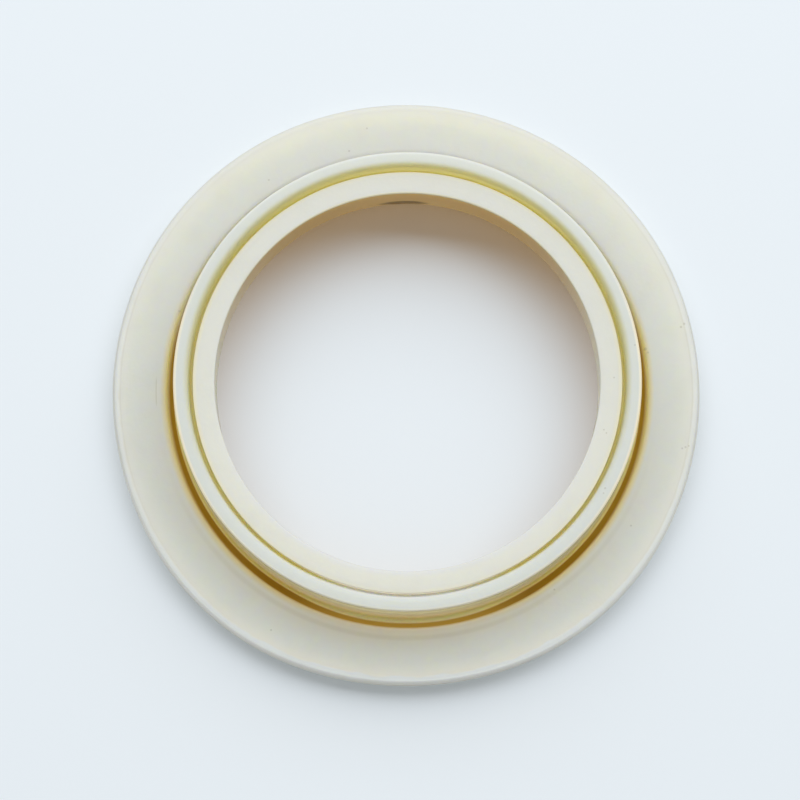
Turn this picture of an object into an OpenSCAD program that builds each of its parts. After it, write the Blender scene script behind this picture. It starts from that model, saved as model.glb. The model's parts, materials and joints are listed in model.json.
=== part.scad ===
// Sealing gasket for the group head of an espresso machine, moulded in one piece from silicone.
// It lies on its flat back, with the collar, the lip and the bore facing +Z.
// The origin is the centre of the back face, and every size is in millimetres.
// The rings are set from the bore outwards, so that each width can change by itself.

/* [Bore and lip] */

// Diameter of the bore, which is the inner edge of the sealing lip
bore_d = 46.5; // [40:0.5:60]

// Height of the flared mouth at the back face, below the straight part of the bore
flare_h = 2.2; // [0.5:0.1:4]

// How much the bore opens out in that mouth, on the radius
flare_w = 0.75; // [0.2:0.05:2]

// Radial width of the lip's face
lip_w = 2.65; // [1.5:0.05:5]

// Depth of the lip's face below the rim
lip_drop = 1; // [0.3:0.1:2.5]

// Radius round the lip's inner edge
lip_edge_r = 0.3; // [0.1:0.05:0.8]

/* [Groove between lip and rim] */

// Width of the groove that leaves the lip free to flex
groove_w = 0.45; // [0.2:0.05:1.5]

// Depth of the groove below the lip's face
groove_depth = 1.2; // [0.8:0.1:4]

/* [Collar] */

// Radial width of the rim, from the groove to the collar's outer wall
rim_w = 1.85; // [1.3:0.05:5]

// Height of the rim above the flange
collar_rise = 5.8; // [4:0.1:12]

// Radius by which the rim rolls over into the groove
rim_roll_r = 0.85; // [0.2:0.05:0.95]

// Radius round the rim's outer edge
rim_edge_r = 0.25; // [0.1:0.05:0.3]

/* [Moat round the foot of the collar] */

// Radial width of the moat
moat_w = 1.15; // [0.9:0.05:3]

// Depth of the moat below the flange's face
moat_depth = 0.9; // [0.5:0.05:1.7]

// Radius in the two corners of the moat's floor
moat_root_r = 0.4; // [0.1:0.05:0.42]

// Radius round the moat's outer brink
moat_brink_r = 0.4; // [0.1:0.05:0.4]

/* [Flange] */

// Radial width of the flange outside the moat
flange_w = 6.65; // [3:0.05:15]

// Thickness of the flange
flange_t = 2.6; // [1.8:0.1:6]

// Radius over the flange's upper outer edge
flange_brow_r = 0.8; // [0.2:0.05:1.1]

// Radius on the flange's lower outer edge, where the mould closes
flange_foot_r = 0.3; // [0.1:0.05:0.5]

/* [Output] */

// Piece to show

/* [Hidden] */

cream = [0.87, 0.87, 0.81];
cut = 0.1;

bore_r = bore_d / 2;
groove_r = bore_r + lip_w;
rim_r = groove_r + groove_w;
collar_r = rim_r + rim_w;
moat_r = collar_r + moat_w;
flange_r = moat_r + flange_w;

rim_z = flange_t + collar_rise;
lip_z = rim_z - lip_drop;
groove_z = lip_z - groove_depth;
moat_z = flange_t - moat_depth;

turn_facets = 96;
arc_facets = 24;

// What rounding a corner takes away. The corner is at the origin, with the solid below and left.
module corner_waste(r) {
    translate([-r, -r])
        difference() {
            square(r + cut);
            circle(r, $fn = arc_facets);
        }
}

// Half section of the plain ring: the flange, with the collar standing on it as high as the rim.
module ring_section() {
    square([flange_r, flange_t]);
    square([collar_r, rim_z]);
}

// Half section of the groove: straight walls down to a round floor.
module groove_section() {
    floor_r = groove_w / 2;
    translate([groove_r, groove_z + floor_r])
        square([groove_w, rim_z - groove_z - floor_r + cut]);
    translate([groove_r + floor_r, groove_z + floor_r])
        circle(floor_r, $fn = arc_facets);
}

// Half section of the moat: the collar's wall runs down into it, and both floor corners are round.
module moat_section() {
    translate([collar_r, moat_z + moat_root_r])
        square([moat_w, moat_depth - moat_root_r + cut]);
    translate([collar_r + moat_root_r, moat_z])
        square([moat_w - 2 * moat_root_r, moat_depth]);
    for (corner_r = [collar_r + moat_root_r, moat_r - moat_root_r])
        translate([corner_r, moat_z + moat_root_r])
            circle(moat_root_r, $fn = arc_facets);
}

// Half section of the bore: straight from the lip's face, then opening out to the back face.
module bore_section() {
    translate([0, -cut])
        square([bore_r, rim_z + 2 * cut]);
    polygon([
        [0, flare_h],
        [bore_r, flare_h],
        [bore_r + flare_w, 0],
        [bore_r + flare_w, -cut],
        [0, -cut]
    ]);
}

// The whole half section: lip, groove, rim, moat and flange, from the bore outwards.
module gasket_section() {
    difference() {
        ring_section();
        bore_section();
        translate([0, lip_z])
            square([groove_r, lip_drop + cut]);
        groove_section();
        moat_section();
        translate([bore_r, lip_z])
            mirror([1, 0])
                corner_waste(lip_edge_r);
        translate([rim_r, rim_z])
            mirror([1, 0])
                corner_waste(rim_roll_r);
        translate([collar_r, rim_z])
            corner_waste(rim_edge_r);
        translate([moat_r, flange_t])
            mirror([1, 0])
                corner_waste(moat_brink_r);
        translate([flange_r, flange_t])
            corner_waste(flange_brow_r);
        translate([flange_r, 0])
            mirror([0, 1])
                corner_waste(flange_foot_r);
    }
}

module gasket() {
    color(cream)
        rotate_extrude($fn = turn_facets)
            gasket_section();
}

gasket();
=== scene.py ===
import json
from types import SimpleNamespace

import bpy
import numpy as np
from mathutils import Matrix, Vector


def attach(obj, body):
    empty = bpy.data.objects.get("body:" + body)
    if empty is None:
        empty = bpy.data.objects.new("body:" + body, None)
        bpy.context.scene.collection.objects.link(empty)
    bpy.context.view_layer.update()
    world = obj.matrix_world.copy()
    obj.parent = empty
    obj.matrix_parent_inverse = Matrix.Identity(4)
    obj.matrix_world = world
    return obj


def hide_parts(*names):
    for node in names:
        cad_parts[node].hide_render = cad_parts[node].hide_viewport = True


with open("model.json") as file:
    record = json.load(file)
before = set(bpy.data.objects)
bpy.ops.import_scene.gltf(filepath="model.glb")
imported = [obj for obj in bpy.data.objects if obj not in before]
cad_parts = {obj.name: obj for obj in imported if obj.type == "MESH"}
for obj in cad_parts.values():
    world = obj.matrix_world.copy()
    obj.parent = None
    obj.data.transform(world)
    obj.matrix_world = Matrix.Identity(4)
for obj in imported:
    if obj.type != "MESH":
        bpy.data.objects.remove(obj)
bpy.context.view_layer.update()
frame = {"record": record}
scene = bpy.context.scene

# The gasket: one ring of cream silicone, moulded in a single shot in a two-part tool.
# Its half section runs from the bore over the lip, the groove, the rim and the moat to the
# flange, and the soft ring lies a little out of true.
MM = 0.001
mounts = {mount["name"]: mount for mount in frame["record"]["mounts"]}


def radius_of(mount):
    """Radius of a round mount, in metres."""
    return mounts[mount]["dims"]["r_mm"] * MM


def height_of(mount):
    """Height of a flat mount above the back face, in metres."""
    return mounts[mount]["pos_m"][2]


# Widths and depths of the half section that no mount gives.
LIP_W = 2.65 * MM
GROOVE_W = 0.45 * MM
GROOVE_DEPTH = 1.2 * MM
MOAT_W = 1.15 * MM
MOAT_DEPTH = 0.9 * MM
FLARE_W = 0.75 * MM
FLARE_H = 2.2 * MM

# Radii from the axis, and heights above the back face.
BORE_R = radius_of("bore")
GROOVE_R = BORE_R + LIP_W
RIM_R = GROOVE_R + GROOVE_W
COLLAR_R = radius_of("collar")
MOAT_R = COLLAR_R + MOAT_W
FLANGE_R = radius_of("flange_edge")
RIM_Z = height_of("rim")
LIP_Z = height_of("lip")
FLANGE_Z = height_of("flange_face")
MOAT_Z = FLANGE_Z - MOAT_DEPTH

# Rounded corners of the section, and the number of steps in a small and in a large arc.
LIP_EDGE = 0.15 * MM
LIP_CREST = 0.06 * MM
RIM_ROLL = 0.85 * MM
RIM_EDGE = 0.25 * MM
MOAT_ROOT = 0.4 * MM
MOAT_BRINK = 0.4 * MM
FLANGE_BROW = 0.8 * MM
FLANGE_FOOT = 0.3 * MM
SMALL_ARC = 6
LARGE_ARC = 12
GROOVE_ARC = 8
CREST_ARC = 3

# The fine line that the mould leaves in the face of the flange, close to its edge.
LINE_R = FLANGE_R - 0.95 * MM
LINE_W = 0.16 * MM
LINE_DEPTH = 0.02 * MM

# How finely the ring is cut: along its section, where no added point comes closer than a share of the step
# to a point of the outline, and round its turn.
SECTION_STEP = 0.6 * MM
CLOSEST_SHARE = 0.25
TURN_STEPS = 480

# How the flange lies out of true, and each wave of its edge as a share, a count round the ring and a start.
FLANGE_PULL = 0.16 * MM
FLANGE_PUSH = 0.1 * MM
FLANGE_SPREAD = 0.45 * MM
EDGE_WAVE = 0.04 * MM
EDGE_WAVES = ((0.6, 3, 1), (0.3, 7, 4), (0.2, 12, 2))


def arc(centre_r, centre_z, radius, start, end, steps):
    """Points of an arc in the section: centre + radius * (cos a, sin a), a from start to end degrees."""
    a = np.radians(np.linspace(start, end, steps + 1))
    return np.column_stack([centre_r + radius * np.cos(a), centre_z + radius * np.sin(a)])


def half_section():
    """The half section's closed outline, as (radius, height) points anticlockwise from the flared mouth."""
    groove_half = GROOVE_W / 2
    line_half = LINE_W / 2
    return np.concatenate([
        [[BORE_R + FLARE_W, 0]],
        arc(FLANGE_R - FLANGE_FOOT, FLANGE_FOOT, FLANGE_FOOT, -90, 0, SMALL_ARC),
        arc(FLANGE_R - FLANGE_BROW, FLANGE_Z - FLANGE_BROW, FLANGE_BROW, 0, 90, LARGE_ARC),
        [[LINE_R + line_half, FLANGE_Z], [LINE_R, FLANGE_Z - LINE_DEPTH], [LINE_R - line_half, FLANGE_Z]],
        arc(MOAT_R + MOAT_BRINK, FLANGE_Z - MOAT_BRINK, MOAT_BRINK, 90, 180, SMALL_ARC),
        arc(MOAT_R - MOAT_ROOT, MOAT_Z + MOAT_ROOT, MOAT_ROOT, 0, -90, SMALL_ARC),
        arc(COLLAR_R + MOAT_ROOT, MOAT_Z + MOAT_ROOT, MOAT_ROOT, -90, -180, SMALL_ARC),
        arc(COLLAR_R - RIM_EDGE, RIM_Z - RIM_EDGE, RIM_EDGE, 0, 90, SMALL_ARC),
        arc(RIM_R + RIM_ROLL, RIM_Z - RIM_ROLL, RIM_ROLL, 90, 180, LARGE_ARC),
        arc(RIM_R - groove_half, LIP_Z - GROOVE_DEPTH + groove_half, groove_half, 0, -180, GROOVE_ARC),
        arc(GROOVE_R - LIP_CREST, LIP_Z - LIP_CREST, LIP_CREST, 0, 90, CREST_ARC),
        arc(BORE_R + LIP_EDGE, LIP_Z - LIP_EDGE, LIP_EDGE, 90, 180, SMALL_ARC),
        [[BORE_R, FLARE_H], [BORE_R + FLARE_W, 0]],
    ])


def evenly_cut(outline, step):
    """The same outline with a point at least every step along it, and every corner and arc point kept."""
    along = np.concatenate([[0], np.cumsum(np.hypot(*np.diff(outline, axis=0).T))])
    extra = np.arange(step, along[-1], step)
    clear = np.abs(extra[:, None] - along).min(axis=1) > step * CLOSEST_SHARE
    places = np.sort(np.concatenate([along, extra[clear]]))
    return np.column_stack([np.interp(places, along, outline[:, k]) for k in (0, 1)])[:-1]


def ring_grid(outline, steps):
    """The outline turned round Z: x = r cos a, y = r sin a, z = z, as an array of rows by turns by 3."""
    a = np.linspace(0, 2 * np.pi, steps, endpoint=False)
    r, z = outline[:, :1], outline[:, 1:]
    return np.stack([r * np.cos(a), r * np.sin(a), z + 0 * a], axis=2)


def out_of_true(grid):
    """The grid as the soft ring lies. Past the collar, a point at the angle a moves by -pull * (1 + cos a)
    along X and -push * (1 - sin a) along Y. The flange's edge waves a little in and out, and it spreads by
    spread * sqrt(-sin a) * sin(2a)**2 on the two near quarters."""
    x, y = grid[..., 0], grid[..., 1]
    r, a = np.hypot(x, y), np.arctan2(y, x)
    past = np.clip((r - COLLAR_R) / (FLANGE_R - COLLAR_R), 0, 1)
    past = past * past * (3 - 2 * past)
    wave = EDGE_WAVE * sum(share * np.sin(count * a + start) for share, count, start in EDGE_WAVES)
    spread = FLANGE_SPREAD * np.sqrt(np.clip(-np.sin(a), 0, 1)) * np.sin(2 * a) ** 2
    out = 1 + past * (wave + spread) / r
    bent = grid.copy()
    bent[..., 0] = x * out - FLANGE_PULL * (1 + np.cos(a)) * past
    bent[..., 1] = y * out - FLANGE_PUSH * (1 - np.sin(a)) * past
    return bent


def ring_mesh(name, grid, radii):
    """A mesh closed both ways round the grid, with smooth faces that point outwards. Each point keeps the
    radius of its row before the ring was bent, as the attribute that the material reads."""
    rows, turns = grid.shape[:2]
    i, j = np.meshgrid(np.arange(rows), np.arange(turns), indexing="ij")
    up, on = (i + 1) % rows, (j + 1) % turns
    faces = np.stack([i * turns + j, i * turns + on, up * turns + on, up * turns + j], axis=2)
    mesh = bpy.data.meshes.new(name)
    mesh.from_pydata(grid.reshape(-1, 3), [], faces.reshape(-1, 4))
    mesh.polygons.foreach_set("use_smooth", np.ones(rows * turns, bool))
    kept = mesh.attributes.new("moulded_radius", "FLOAT", "POINT")
    kept.data.foreach_set("value", np.repeat(radii, turns))
    mesh.update()
    return mesh


class Wire:
    """One output in a material's node tree. Arithmetic on wires and numbers adds the Math nodes for it."""

    def __init__(self, tree, socket=None):
        self.tree, self.socket = tree, socket

    def node(self, kind, settings=(), sockets=(), output=0):
        """Adds a node: its settings first, then a value or a wire for each socket. Gives its output."""
        made = self.tree.nodes.new(kind)
        for name, value in dict(settings).items():
            setattr(made, name, value)
        for name, value in dict(sockets).items():
            if isinstance(value, Wire):
                self.tree.links.new(value.socket, made.inputs[name])
            else:
                made.inputs[name].default_value = value
        return Wire(self.tree, made.outputs[output] if made.outputs else None)

    def also(self, output):
        """Another output of the node that this wire comes from."""
        return Wire(self.tree, self.socket.node.outputs[output])

    def math(self, operation, *values):
        return self.node("ShaderNodeMath", {"operation": operation}, enumerate(values))

    def __abs__(self):
        return self.math("ABSOLUTE", self)

    def __or__(self, other):
        return self.math("MAXIMUM", self, other)

    def __add__(self, other):
        return self.math("ADD", self, other)

    def __sub__(self, other):
        return self.math("SUBTRACT", self, other)

    def __rsub__(self, other):
        return self.math("SUBTRACT", other, self)

    def __mul__(self, other):
        return self.math("MULTIPLY", self, other)

    def __truediv__(self, other):
        return self.math("DIVIDE", self, other)

    def __pow__(self, other):
        return self.math("POWER", self, other)

    __radd__, __rmul__ = __add__, __mul__

    def rise(self, low, high):
        """0 below low, 1 above high, and a smooth step between them."""
        ends = {"From Min": low, "From Max": high}
        return self.node("ShaderNodeMapRange", {"interpolation_type": "SMOOTHSTEP"}, {"Value": self, **ends})

    def past(self, edge, fade):
        """The same step from edge + fade[0] to edge + fade[1], where the fade is in millimetres."""
        return self.rise(edge + fade[0] * MM, edge + fade[1] * MM)

    def mix(self, first, second):
        """Colour that goes from first to second as this wire goes from 0 to 1."""
        return self.node("ShaderNodeMix", {"data_type": "RGBA"}, {0: self, 6: first, 7: second}, 2)

    def turn(self, first, second):
        """Direction that turns from first to second as this wire goes from 0 to 1."""
        between = self.node("ShaderNodeMix", {"data_type": "VECTOR"}, {0: self, 4: first, 5: second}, 1)
        return self.node("ShaderNodeVectorMath", {"operation": "NORMALIZE"}, {0: between})

    def blend(self, first, second):
        """Shader that goes from first to second as this wire goes from 0 to 1."""
        return self.node("ShaderNodeMixShader", {}, {0: self, 1: first, 2: second})


def new_material(name):
    """An empty node material, with the wire that adds its nodes."""
    material = bpy.data.materials.new(name)
    material.use_nodes = True
    material.node_tree.nodes.clear()
    return material, Wire(material.node_tree)


def noise(place, size, detail):
    """Soft noise from 0 to 1 over the places, in blotches of one size with a number of finer layers."""
    return place.node("ShaderNodeTexNoise", {}, {"Vector": place, "Scale": 1 / size, "Detail": detail})


# The sides of the ring, as spans of the sine of the angle round it: -1 is the nearest point, 1 the farthest.
NEAR_SPAN = (-1, -0.1)
FRONT_SPAN = (-1, -0.85)
FAR_SPAN = (0.1, 1)
BESIDE_SPAN = (0.1, 0.6)
ROLL_SPAN = (-0.85, 0.4)
DEEP_FAR_SPAN = (-0.1, 0.9)
DEEP_NEAR_SPAN = (-0.9, 0)

# Where each part of the section starts and ends in the material. Each is a fade in millimetres, past the
# radius or the height that it is used with.
EDGE_START = (-1.0, -0.7)
LOW_END = (0.1, 0.6)
LIP_SIDE = (0, 0.02)
GROOVE_SIDE = (-0.02, 0.02)
GROOVE_END = (0, 0.3)
ROLL_END = (0, 0.85)
ROLL_SHARE = 0.85
GROOVE_BASE = (0.2, 2.8)
WALL_START = (-0.3, -0.05)
WALL_END = (0.6, 0.8)
WALL_TOP = (-0.4, -0.2)
RIM_EDGE_START = (-0.45, -0.1)
RIM_EDGE_BASE = (-0.45, -0.25)
MOAT_START = (0.25, 0.45)
MOAT_START_IN_FRONT = 0.22 * MM
MOAT_END = (-0.41, 0.04)
MOAT_END_NEARER = 0.3 * MM
BORE_END = (0.75, 1.2)
BORE_TOP = (-0.3, -0.1)

# The edge of the clear border wavers by this much.
RIPPLE_LENGTH = 2.5 * MM
RIPPLE_WIDTH = 0.7 * MM
RIPPLE_DETAIL = 1
NOISE_MIDDLE = 0.5


def places_on_ring(start):
    """Where a point lies: its coordinates, its moulded radius r, masks for the sides of the ring, and masks
    for the parts of the section. A mask is 1 in its part and 0 elsewhere, with soft ends."""
    place = start.node("ShaderNodeTexCoord", {}, {}, "Object")
    x = start.node("ShaderNodeSeparateXYZ", {}, {0: place})
    y, z = x.also("Y"), x.also("Z")
    r = start.node("ShaderNodeAttribute", {"attribute_name": "moulded_radius"}, {}, "Fac")
    at = SimpleNamespace(place=place, x=x, y=y, z=z, r=r)

    behind = y / (x * x + y * y) ** 0.5
    at.near = 1 - behind.rise(*NEAR_SPAN)
    at.front = 1 - behind.rise(*FRONT_SPAN)
    at.far = behind.rise(*FAR_SPAN)
    at.beside = 1 - behind.rise(*BESIDE_SPAN)

    ripple = (noise(place, RIPPLE_LENGTH, RIPPLE_DETAIL) - NOISE_MIDDLE) * RIPPLE_WIDTH
    at.edge = (r + ripple).past(FLANGE_R, EDGE_START)
    at.low = 1 - z.past(FLANGE_Z, LOW_END)

    floor = r.past(GROOVE_R, GROOVE_SIDE) * (1 - r.past(RIM_R, GROOVE_END))
    # The rim's roll takes the groove's painted shade more on the far side, where it faces away from the
    # lamp.
    roll = r.rise(GROOVE_R, RIM_R) * (1 - r.past(RIM_R, ROLL_END)) * behind.rise(*ROLL_SPAN) * ROLL_SHARE
    at.groove = (floor | roll) * z.past(FLANGE_Z, GROOVE_BASE)

    at.wall = r.past(COLLAR_R, WALL_START) * (1 - r.past(COLLAR_R, WALL_END)) * (1 - z.past(RIM_Z, WALL_TOP))
    at.rim_edge = r.past(COLLAR_R, RIM_EDGE_START) * z.past(RIM_Z, RIM_EDGE_BASE)

    moat_start = (r - at.front * MOAT_START_IN_FRONT).past(COLLAR_R, MOAT_START)
    at.moat = moat_start * (1 - (r - at.near * MOAT_END_NEARER).past(MOAT_R, MOAT_END)) * at.low

    at.bore = (1 - r.past(BORE_R, BORE_END)) * (1 - z.past(LIP_Z, BORE_TOP))
    # The bore's far and near sides, which take its brown painted shade and glow.
    at.deep = at.bore * (behind.rise(*DEEP_FAR_SPAN) | (1 - behind.rise(*DEEP_NEAR_SPAN)))
    return at


# Pale silicone: cream, and greyer or clearer where it is thin, with painted light and shade by side: the
# near flange painted lighter, a painted glow on the clear border, and a greyer painted shade on the lip's
# near inner edge. Dark lines in it are a share of one olive.
CREAM = (0.73, 0.725, 0.665, 1)
# Painted light: the near flange is painted lighter, standing in for light that comes through the collar into
# its shade.
CREAM_NEAR_PAINTED_LIGHTER = (0.82, 0.80, 0.70, 1)
RIM_WHITE = (0.685, 0.71, 0.66, 1)
LIP_CREAM = (0.75, 0.75, 0.68, 1)
# Painted shade for the lip's near inner edge.
LIP_PAINTED_SHADE = (0.72, 0.73, 0.71, 1)
# Clearer thin silicone at the flange's border, with a painted glow: strongest near, none far off.
EDGE_CLEAR_PAINTED_GLOW = (0.79, 0.82, 0.80, 1)
OLIVE_DARK = (0.42, 0.39, 0.27, 1)
NEAR_GLOW_SHARE = 0.6
RIM_FACE_BASE = (-0.3, 0.9)
RIM_FACE_START = (0, 0.5)
LIP_FACE_BASE = (-0.3, -0.1)
LIP_PAINTED_SHADE_END = (0.2, 1)
LINE_FADE = (0.03, 0.16)
LINE_PAINTED_SHADE = 0.12

# A soft ring of painted shade round the near half, and a faint ring cut in by the mould, a short sharp
# stretch on the left.
RING_R = 30.65 * MM
SOFT_RING_FADE = (0.05, 0.45)
SOFT_RING_PAINTED_SHADE = 0.16
SHARP_RING_FADE = (0.04, 0.1)
SHARP_RING_SHADE = 0.3
SHARP_RING_Y = -0.5 * MM
SHARP_RING_HALF = (1.2, 2)
LEFT_HALF = (-1, 1)


def pale_colour(at):
    """Cream on the flange, painted lighter near, with painted glow on its clear border, painted shade in its
    line and near ring, the mould's sharp ring, then the faces of rim and lip.
    """
    # The clear border: thinner, clearer silicone plus a painted glow, stronger on the near side and none far
    # off.
    clear = at.edge * (1 - at.far) * (at.near * NEAR_GLOW_SHARE + (1 - NEAR_GLOW_SHARE))
    colour = clear.mix(at.near.mix(CREAM, CREAM_NEAR_PAINTED_LIGHTER), EDGE_CLEAR_PAINTED_GLOW)
    # Painted shade in the mould's fine line, shown at the sides only.
    line = (1 - abs(at.r - LINE_R).past(0, LINE_FADE)) * (1 - at.far) * (1 - at.near)
    colour = (line * LINE_PAINTED_SHADE).mix(colour, OLIVE_DARK)

    from_ring = abs(at.r - RING_R)
    stretch = (1 - abs(at.y - SHARP_RING_Y).past(0, SHARP_RING_HALF)) * (1 - at.x.past(0, LEFT_HALF))
    # Painted shade: a soft dark ring on the near half of the flange.
    soft_shade_ring = (1 - from_ring.past(0, SOFT_RING_FADE)) * at.near * SOFT_RING_PAINTED_SHADE
    sharp_ring = (1 - from_ring.past(0, SHARP_RING_FADE)) * stretch * SHARP_RING_SHADE
    colour = (soft_shade_ring | sharp_ring).mix(colour, OLIVE_DARK)

    rim_face = at.z.past(LIP_Z, RIM_FACE_BASE) * at.r.past(RIM_R, RIM_FACE_START)
    colour = rim_face.mix(colour, RIM_WHITE)
    lip_face = at.z.past(LIP_Z, LIP_FACE_BASE) * (1 - at.r.past(GROOVE_R, LIP_SIDE))
    colour = lip_face.mix(colour, LIP_CREAM)
    # Painted shade: the lip's inner edge is darker on the near side.
    return (at.near * (1 - at.r.past(BORE_R, LIP_PAINTED_SHADE_END))).mix(colour, LIP_PAINTED_SHADE)


# The groove and the lip's two edges: olive painted shade and glow in the groove, and a warm painted glow
# where light comes out at an edge.
OLIVE = (0.67, 0.64, 0.33, 1)
OLIVE_DEEP = (0.65, 0.63, 0.36, 1)
GREY_GREEN = (0.66, 0.69, 0.75, 1)
LIP_WARM = (0.84, 0.79, 0.58, 1)
OLIVE_START = (0, 0.65)
LIP_WARM_START = (-0.6, 0)
LIP_WARM_BASE = (-0.2, 0)
LIP_WARM_LESS_NEAR = 0.6
LIP_WARM_LESS_FAR = 0.5
LIP_RIM_END = (0.05, 0.3)


def groove_colour(at, colour):
    """Olive painted shade and glow in the groove, greyer in front, and a warm painted glow along the lip's
    edges.
    """
    # Painted shade and glow: olive in the groove, paler far off, and grey-green in front.
    olive = (at.r.past(GROOVE_R, OLIVE_START) | at.far).mix(OLIVE_DEEP, OLIVE)
    colour = at.groove.mix(colour, at.front.mix(olive, GREY_GREEN))
    # Painted glow: warm along the lip's outer edge, less near and far off.
    lip_side = at.r.past(GROOVE_R, LIP_WARM_START) * (1 - at.r.past(GROOVE_R, LIP_SIDE))
    warm = lip_side * at.z.past(LIP_Z, LIP_WARM_BASE)
    warm = warm * (1 - at.near * LIP_WARM_LESS_NEAR) * (1 - at.far * LIP_WARM_LESS_FAR)
    colour = warm.mix(colour, LIP_WARM)
    # Painted glow: warm on the lip's inner edge, far off only.
    lip_rim = (1 - at.r.past(BORE_R, LIP_RIM_END)) * at.z.past(LIP_Z, LIP_FACE_BASE) * at.far
    return lip_rim.mix(colour, LIP_WARM)


# The collar and the moat, in painted shade and glow of light through the silicone: khaki on the wall, gold
# at its foot and on the moat's brink, amber in the moat.
KHAKI = (1.0, 0.92, 0.58, 1)
WALL_GREY = (0.34, 0.33, 0.18, 1)
FOOT_GOLD = (1.0, 0.79, 0.34, 1)
WARM = (0.99, 0.87, 0.62, 1)
WARM_FAR = (0.74, 0.76, 0.72, 1)
GOLD = (0.84, 0.66, 0.27, 1)
AMBER = (0.34, 0.195, 0.014, 1)
AMBER_NEAR = (0.57, 0.39, 0.08, 1)
BRINK_PAINTED_SHADE = (0.50, 0.52, 0.52, 1)
WALL_GREY_FADE = (-0.2, 3.8)
FOOT_TOP = (-0.7, 0.1)
FOOT_LESS_IN_FRONT = 0.9
RIM_EDGE_LESS_NEAR = 0.7
BRINK_START = (0.6, 0.9)
BRINK_END = (0.1, 0.9)
BRINK_LESS_IN_FRONT = 0.8
BRINK_SHARE = 0.8
FAR_BRINK_START = (-0.4, -0.1)
FAR_BRINK_END = (0.35, 0.8)
FAR_BRINK_SHARE = 0.35


def collar_colour(at, colour):
    """Khaki painted glow up the collar's wall, greyer painted shade near its top, gold painted glow at its
    foot, and a warm painted highlight on the rim edge that is paler far off.
    """
    # Painted glow and shade: khaki low on the collar's wall, grey towards its top.
    colour = at.wall.mix(colour, at.z.past(FLANGE_Z, WALL_GREY_FADE).mix(KHAKI, WALL_GREY))
    # Painted glow: gold at the wall's foot, less in front.
    foot = at.wall * (1 - at.z.past(FLANGE_Z, FOOT_TOP)) * (1 - at.front * FOOT_LESS_IN_FRONT)
    colour = foot.mix(colour, FOOT_GOLD)
    # Painted highlight: a warm glow on the rim's outer edge, less near and paler far off.
    return (at.rim_edge * (1 - at.near * RIM_EDGE_LESS_NEAR)).mix(colour, at.beside.mix(WARM_FAR, WARM))


def moat_colour(at, colour):
    """Gold painted glow on the moat's brink at the sides, amber painted shade and glow in the moat, and a
    grey painted shade on the brink far off.
    """
    brink = at.r.past(COLLAR_R, BRINK_START) * (1 - at.r.past(MOAT_R, BRINK_END)) * at.low
    # Painted glow: gold on the moat's brink at the sides, less in front.
    colour = (brink * at.beside * (1 - at.front * BRINK_LESS_IN_FRONT) * BRINK_SHARE).mix(colour, GOLD)
    # Painted shade and glow in the moat: amber in front and olive beside.
    colour = at.moat.mix(colour, at.beside.mix(OLIVE_DARK, at.front.mix(AMBER, AMBER_NEAR)))
    # Painted shade: grey on the moat's brink far off.
    far_brink = at.r.past(MOAT_R, FAR_BRINK_START) * (1 - at.r.past(MOAT_R, FAR_BRINK_END)) * at.far
    return (far_brink * FAR_BRINK_SHARE).mix(colour, BRINK_PAINTED_SHADE)


# The bore: brown painted shade and glow on its far and near walls, with one short dark painted shadow, a
# crease, on the far wall.
BROWN = (0.60, 0.46, 0.26, 1)
CREASE_SHADOW = (0.06, 0.03, 0.01, 1)
CREASE_X, CREASE_Z = -0.5 * MM, 2.9 * MM
CREASE_HALF_W, CREASE_HALF_H = 3.4 * MM, 0.95 * MM
CREASE_FADE = (0.3, 1.1)
CREASE_SHARE = 0.7
FAR_HALF = (0, 1)


def crease_shadow_mask(at):
    """Painted shadow: a flat ellipse on the bore's far wall, 1 in its middle and 0 outside, times its share.
    """
    along, up = (at.x - CREASE_X) / CREASE_HALF_W, (at.z - CREASE_Z) / CREASE_HALF_H
    inside = 1 - (along * along + up * up).rise(*CREASE_FADE)
    return at.bore * at.y.past(0, FAR_HALF) * inside * CREASE_SHARE


# Small dark marks in the top side, each as its X, its Y and its radius in millimetres.
SPECK = (0.40, 0.37, 0.30, 1)
SPECK_SHARE = 0.4
SPECK_CORE = 0.4
TOP_SIDE = (1, 2)
SPECKS = (
    (29.1, 4.85, 0.26), (29.4, 4.4, 0.18), (27.4, 4.1, 0.16), (24.9, 0.3, 0.14),
    (23.6, -6.1, 0.15), (23.9, -6.5, 0.14), (23.6, -13.4, 0.18), (23.4, -14.0, 0.14),
    (33.4, -7.5, 0.16), (33.8, -7.35, 0.18), (34.2, -7.2, 0.14), (27.05, -17.0, 0.16),
    (17.7, -24.8, 0.16), (-5.0, 32.8, 0.16), (-7.2, 29.9, 0.18), (-17.1, 26.2, 0.16),
    (-27.95, 9.6, 0.18), (-16.4, -29.7, 0.16), (33.5, 7.6, 0.2), (33.9, 8.0, 0.2),
)

# Cloudiness in the silicone, as a share of the dark olive.
MOTTLE_SIZE = 4 * MM
MOTTLE_DETAIL = 3
MOTTLE_FADE = (0.45, 0.75)
MOTTLE_SHADE = 0.05


def marked_colour(at, colour):
    """The colour with the specks in the top side, and a faint cloudiness all over."""
    specks = 0
    for speck_x, speck_y, size in SPECKS:
        off_x, off_y = at.x - speck_x * MM, at.y - speck_y * MM
        off = (off_x * off_x + off_y * off_y) ** 0.5
        specks = (1 - off.past(0, (size * SPECK_CORE, size))) + specks
    specks = specks.math("MINIMUM", specks, 1) * at.z.past(0, TOP_SIDE)
    colour = (specks * SPECK_SHARE).mix(colour, SPECK)
    clouds = noise(at.place, MOTTLE_SIZE, MOTTLE_DETAIL)
    return (clouds.rise(*MOTTLE_FADE) * MOTTLE_SHADE).mix(colour, OLIVE_DARK)


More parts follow.
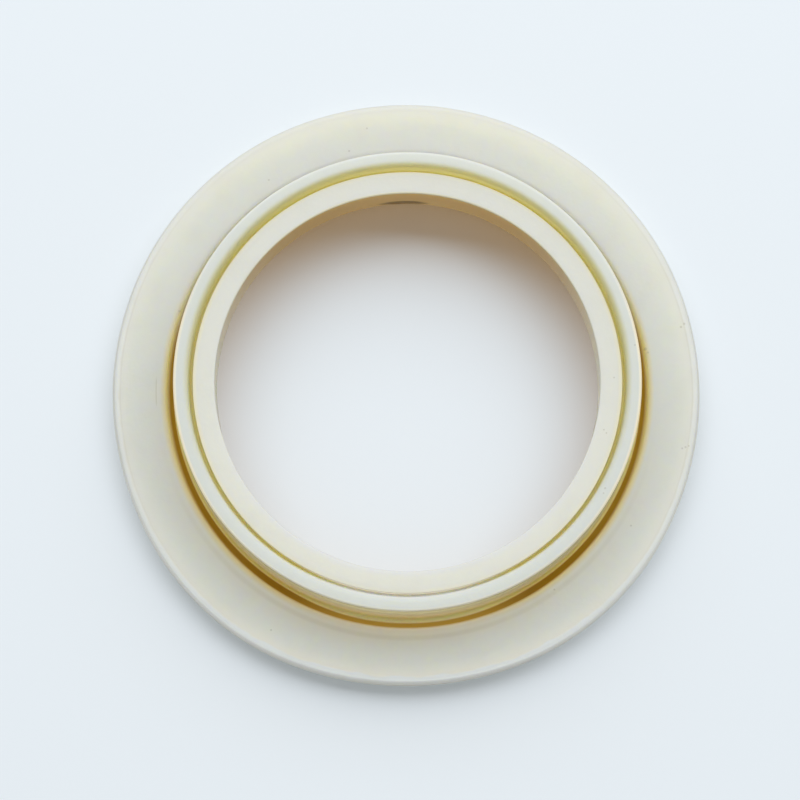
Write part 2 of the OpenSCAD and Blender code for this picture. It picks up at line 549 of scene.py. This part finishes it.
# The soft skin. Light spreads so far in its edges that they look lit from above, and there the even skin
# stands in for it.
GRAIN_SIZE = 0.5 * MM
GRAIN_DETAIL = 2
GRAIN_HEIGHT = 0.03 * MM
GRAIN_STRENGTH = 0.5
ROUGH_LEAST = 0.6
SILICONE_IOR = 1.41
SILICONE_SHINE = 0.35
LIGHT_REACH = (1.0, 0.8, 0.35)
LIGHT_DEPTH = 8.0 * MM
BORDER_START = (-2.6, -0.8)
RAISED_BASE = (-0.5, -0.3)
TURNED_UP = (-0.4, -0.1)
EDGE_BLUR = 0.8
MOAT_BLUR = 0.8
LIFT_FADE = (0, 0.1)


def silicone_skin(at, colour):
    """Skin that scatters light, with the even skin in its place by the edges. Gives the blend of the two,
    and the even skin alone."""
    border = at.r.past(FLANGE_R, BORDER_START)
    blurred = border | at.z.past(LIP_Z, RAISED_BASE) | at.moat * MOAT_BLUR
    blurred = blurred * (1 - at.groove) * (1 - at.deep) * at.up.rise(*TURNED_UP)
    lifted = (blurred.rise(*LIFT_FADE) * EDGE_BLUR).turn(at.facing, (0, 0, 1))

    grain = noise(at.place, GRAIN_SIZE, GRAIN_DETAIL)
    bump = {"Height": grain, "Distance": GRAIN_HEIGHT, "Strength": GRAIN_STRENGTH}
    scattering = at.place.node("ShaderNodeBsdfPrincipled", {"subsurface_method": "RANDOM_WALK"}, {
        "Base Color": colour,
        "Normal": grain.node("ShaderNodeBump", {}, bump),
        "Roughness": (at.moat | at.wall) * (1 - ROUGH_LEAST) + ROUGH_LEAST,
        "IOR": SILICONE_IOR,
        "Specular IOR Level": SILICONE_SHINE,
        "Subsurface Weight": 1.0,
        "Subsurface Radius": LIGHT_REACH,
        "Subsurface Scale": LIGHT_DEPTH,
    })
    even = at.place.node("ShaderNodeBsdfPrincipled", {}, {
        "Base Color": colour,
        "Normal": grain.node("ShaderNodeBump", {}, {**bump, "Normal": lifted}),
        "Roughness": 1.0,
        "Specular IOR Level": 0.0,
    })
    return (blurred * EDGE_BLUR).blend(scattering, even), even


# Light that has come through the silicone and shows on faces that look sideways, by part of the section.
PALE_GLOW = (0.86, 0.87, 0.84, 1)
WARM_GLOW = (1.0, 0.90, 0.66, 1)
OLIVE_GLOW = (0.55, 0.52, 0.29, 1)
TAN_GLOW = (0.74, 0.66, 0.40, 1)
BROWN_GLOW = (0.46, 0.32, 0.14, 1)
GLOW_TILT = 0.55
SIDE_GLOW = 0.5
FRONT_GROOVE_GLOW = 0.35
OUTER_SIDE_START = (0.5, 0.7)
EDGE_GLOW = 0.35
EDGE_GLOW_SPAN = (0.3, 0.6)
EDGE_GLOW_NEARER = 0.3


def glowing_skin(at, skin, even, crease_shadow):
    """The skin with the glow on its sideways faces, and both together along the clear edges."""
    clear = (at.edge | at.rim_edge * (1 - at.near)) * (1 - at.far)
    inward = (clear * GLOW_TILT).turn(at.facing, (0, 0, -1))

    def lit(light):
        return inward.node("ShaderNodeBsdfTranslucent", {}, {"Color": light, "Normal": inward})

    glow = lit(PALE_GLOW)
    parts = ((at.rim_edge, WARM_GLOW), (at.groove * (1 - at.front), OLIVE_GLOW), (at.wall, TAN_GLOW),
             (at.deep, BROWN_GLOW))
    for part, light in parts:
        glow = part.blend(glow, lit(light))

    sideways = 1 - abs(at.up)
    outer_side = at.low * at.r.past(COLLAR_R, OUTER_SIDE_START) * (1 - at.edge)
    strength = at.groove * at.front * FRONT_GROOVE_GLOW + SIDE_GLOW
    # No glow on the painted crease shadow.
    skin = (sideways * strength * (1 - crease_shadow) * (1 - outer_side)).blend(skin, glow)
    both = inward.node("ShaderNodeAddShader", {}, {0: even, 1: glow})
    edge_light = (sideways + at.near * EDGE_GLOW_NEARER).rise(*EDGE_GLOW_SPAN) * clear * EDGE_GLOW
    return edge_light.blend(skin, both)


# The part of the lamp's light that the silicone lets through, to the table and to its own shaded sides.
COLLAR_LIGHT = (0.72, 0.71, 0.68, 1)
FLANGE_LIGHT = (0.32, 0.32, 0.31, 1)
EDGE_LIGHT = (0.62, 0.62, 0.61, 1)
BORE_LIGHT = (0.32, 0.15, 0.015, 1)
FLANGE_LIGHT_START = (0.3, 0.6)
EDGE_LIGHT_START = (-2.2, -1.2)
SOFT_PASS = 0.3
BORE_PASS = 0.35
BORE_PASS_LESS_FAR = 0.5


def light_let_through(at, skin):
    """The skin for the eye, and tinted clear silicone for shadow rays and a share of the soft light."""
    def tinted(colour):
        return at.place.node("ShaderNodeBsdfTransparent", {}, {"Color": colour})

    through = at.r.past(COLLAR_R, FLANGE_LIGHT_START).blend(tinted(COLLAR_LIGHT), tinted(FLANGE_LIGHT))
    through = at.r.past(FLANGE_R, EDGE_LIGHT_START).blend(through, tinted(EDGE_LIGHT))
    through = at.bore.blend(through, tinted(BORE_LIGHT))
    rays = at.place.node("ShaderNodeLightPath", {}, {}, "Is Shadow Ray")
    soft = at.bore * (1 - at.far * BORE_PASS_LESS_FAR) * BORE_PASS + SOFT_PASS
    return (rays + rays.also("Is Diffuse Ray") * soft).blend(skin, through)


def cream_silicone():
    """Cream where it is thin or lit from above, and olive to amber painted shade and glow in the groove, the
    moat and the walls.
    """
    material, start = new_material("cream_silicone")
    material.cycles.use_bump_map_correction = False
    at = places_on_ring(start)
    at.facing = start.node("ShaderNodeNewGeometry", {}, {}, "Normal")
    at.up = start.node("ShaderNodeSeparateXYZ", {}, {0: at.facing}, "Z")

    colour = moat_colour(at, collar_colour(at, groove_colour(at, pale_colour(at))))
    # Painted shadow: the dark crease under the bore's flared foot on the far wall.
    crease_shadow = crease_shadow_mask(at)
    # Painted shade and glow: brown on the bore's far and near walls, then the dark crease shadow over it.
    colour = crease_shadow.mix(at.deep.mix(colour, BROWN), CREASE_SHADOW)
    skin, even = silicone_skin(at, marked_colour(at, colour))
    surface = light_let_through(at, glowing_skin(at, skin, even, crease_shadow))
    start.node("ShaderNodeOutputMaterial", {}, {"Surface": surface})
    return material


outline = evenly_cut(half_section(), SECTION_STEP)
grid = out_of_true(ring_grid(outline, TURN_STEPS))
gasket = bpy.data.objects.new("silicone_gasket", ring_mesh("silicone_gasket", grid, outline[:, 0]))
scene.collection.objects.link(gasket)
gasket.data.materials.append(cream_silicone())
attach(gasket, "root")
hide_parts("gasket")

# The table: a plain pale sheet under the gasket. It is no part of it.
FLOOR_HALF = 1.5
FLOOR_WHITE = (0.83, 0.88, 0.92, 1)

floor_mesh = bpy.data.meshes.new("floor")
floor_mesh.from_pydata([(-FLOOR_HALF, -FLOOR_HALF, 0), (FLOOR_HALF, -FLOOR_HALF, 0),
                        (FLOOR_HALF, FLOOR_HALF, 0), (-FLOOR_HALF, FLOOR_HALF, 0)], [], [(0, 1, 2, 3)])
floor = bpy.data.objects.new("floor", floor_mesh)
scene.collection.objects.link(floor)
floor_paper, start = new_material("floor_paper")
matt = start.node("ShaderNodeBsdfDiffuse", {}, {"Color": FLOOR_WHITE})
start.node("ShaderNodeOutputMaterial", {}, {"Surface": matt})
floor.data.materials.append(floor_paper)

# The light: one wide softbox behind the gasket, and a pale room that fills the shadows.
SOFTBOX_DISTANCE = 2.0
SOFTBOX_ELEVATION = np.radians(42)
SOFTBOX_AZIMUTH = np.radians(83)
SOFTBOX_SIZE = (4.5, 1.9)
SOFTBOX_WATTS = 83
ROOM_WHITE = (0.88, 0.94, 0.97, 1)
ROOM_FILL = 0.25

lamp = bpy.data.lights.new("softbox", "AREA")
lamp.shape, lamp.size, lamp.size_y = "RECTANGLE", *SOFTBOX_SIZE
lamp.energy = SOFTBOX_WATTS
softbox = bpy.data.objects.new("softbox", lamp)
towards = Vector((np.cos(SOFTBOX_ELEVATION) * np.cos(SOFTBOX_AZIMUTH),
                  np.cos(SOFTBOX_ELEVATION) * np.sin(SOFTBOX_AZIMUTH), np.sin(SOFTBOX_ELEVATION)))
turned = towards.to_track_quat("Z", "Y").to_matrix().to_4x4()
softbox.matrix_world = Matrix.Translation(towards * SOFTBOX_DISTANCE) @ turned
scene.collection.objects.link(softbox)

scene.world = bpy.data.worlds.new("room")
scene.world.use_nodes = True
scene.world.node_tree.nodes.clear()
room = Wire(scene.world.node_tree)
rays = room.node("ShaderNodeLightPath", {}, {}, "Is Camera Ray")
seen = rays | rays.also("Is Glossy Ray") | rays.also("Is Transmission Ray")
strength = seen * (1 - ROOM_FILL) + ROOM_FILL
background = room.node("ShaderNodeBackground", {}, {"Color": ROOM_WHITE, "Strength": strength})
room.node("ShaderNodeOutputWorld", {}, {"Surface": background})

# The camera: a long lens that looks down on the gasket from the near side, as the photograph does.
CAMERA_DISTANCE = 400 * MM
CAMERA_ELEVATION = np.radians(78.8)
CAMERA_AIM = Vector((-0.9 * MM, -1.0 * MM, 0))
CAMERA_CLOSEST = 10 * MM
SENSOR_MM = 36
PIXELS_PER_METRE = 8150
IMAGE_PIXELS = 800

camera = bpy.data.objects.new("camera", bpy.data.cameras.new("camera"))
camera.data.sensor_width = SENSOR_MM
camera.data.lens = SENSOR_MM * PIXELS_PER_METRE * CAMERA_DISTANCE / IMAGE_PIXELS
camera.data.clip_start = CAMERA_CLOSEST
back = Vector((0, -np.cos(CAMERA_ELEVATION), np.sin(CAMERA_ELEVATION)))
stand = Matrix.Translation(CAMERA_AIM + back * CAMERA_DISTANCE)
camera.matrix_world = stand @ back.to_track_quat("Z", "Y").to_matrix().to_4x4()
scene.collection.objects.link(camera)
scene.camera = camera

scene.view_settings.view_transform = "Standard"
